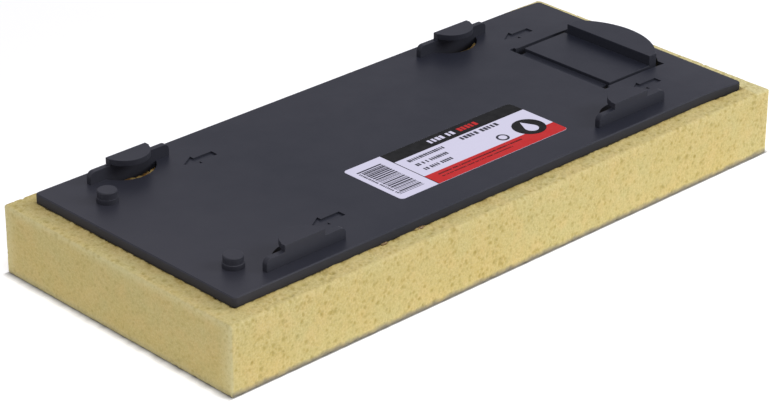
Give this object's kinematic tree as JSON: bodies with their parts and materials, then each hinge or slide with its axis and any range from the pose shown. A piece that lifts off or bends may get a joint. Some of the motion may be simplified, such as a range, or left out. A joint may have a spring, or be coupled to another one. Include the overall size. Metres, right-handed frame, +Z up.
{
  "type": "float sponge pad",
  "caption": "Rectangular foam pad bonded to a dark moulded back plate with hooks, pegs and a sprung latch for a float handle.",
  "frame": {"origin": "centre of the foam's working face, on the surface that the pad lies on", "axes": "+X along the pad towards the latch end, +Y across the pad, +Z up through the back plate"},
  "size_m": [0.36, 0.161, 0.0515],
  "materials": {
    "foam": "matte",
    "adhesive": "satin",
    "moulding": "satin",
    "label": "satin"
  },
  "bodies": {
    "pad": {"sponge_block": "foam", "adhesive_layer": "adhesive", "back_plate": "moulding", "hook_front_left": "moulding", "hook_rear_left": "moulding", "hook_front_right": "moulding", "hook_rear_right": "moulding", "peg_front": "moulding", "peg_rear": "moulding", "living_hinge": "moulding", "label_sticker": "label"},
    "latch": {"latch_tongue": "moulding", "latch_catch": "moulding"}
  },
  "joints": [
    {"name": "latch_flex", "type": "hinge", "parent": "pad", "child": "latch", "pos_m": [0.1146, 0.0013, 0.0393], "axis": [0, 1, 0], "range_deg": [0, 10.5], "stiffness_Nm_per_rad": 1.6, "deforming": ["living_hinge"]}
  ]
}
